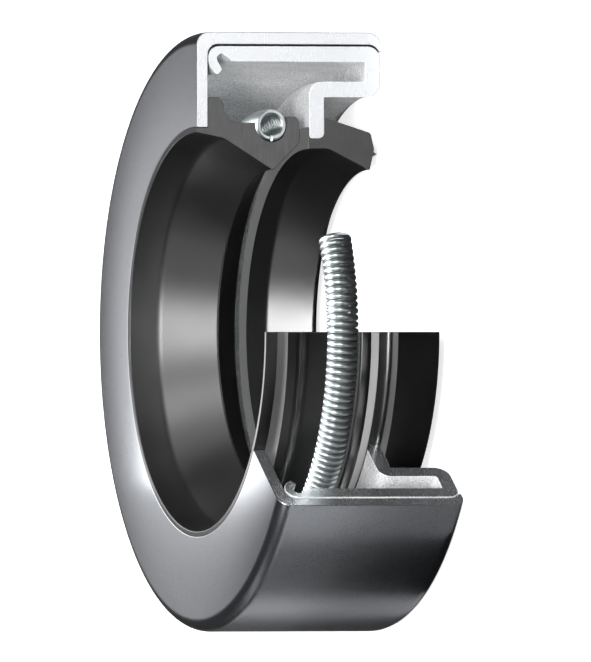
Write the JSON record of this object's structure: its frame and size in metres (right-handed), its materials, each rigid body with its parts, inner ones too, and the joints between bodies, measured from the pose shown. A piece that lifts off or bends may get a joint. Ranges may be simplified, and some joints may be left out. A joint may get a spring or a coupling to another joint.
{
  "type": "radial shaft seal",
  "caption": "Metal-cased radial shaft seal with a spring-loaded main lip and a wiper lip, cut open over part of its ring to show the section.",
  "frame": {"origin": "on the shaft's axis, in the plane of the main lip's contact edge", "axes": "+Z along the shaft towards the flange side, +X to the upright cut face where every ring starts, the rings turn from +X towards +Y"},
  "size_m": [0.062, 0.0564, 0.0204],
  "materials": {
    "outer_case": "satin rolled sheet, bright on the cut edge",
    "inner_case": "satin rolled sheet, bright on the cut edge",
    "main_lip": "smooth moulded rubber with a soft sheen, matt on the cut face",
    "wiper_lip": "smooth moulded rubber with a soft sheen, matt on the cut face",
    "garter_spring": "bright drawn wire"
  },
  "bodies": {
    "root": {"outer_case": "outer_case", "inner_case": "inner_case", "main_lip": "main_lip", "wiper_lip": "wiper_lip", "garter_spring": "garter_spring"}
  },
  "joints": []
}
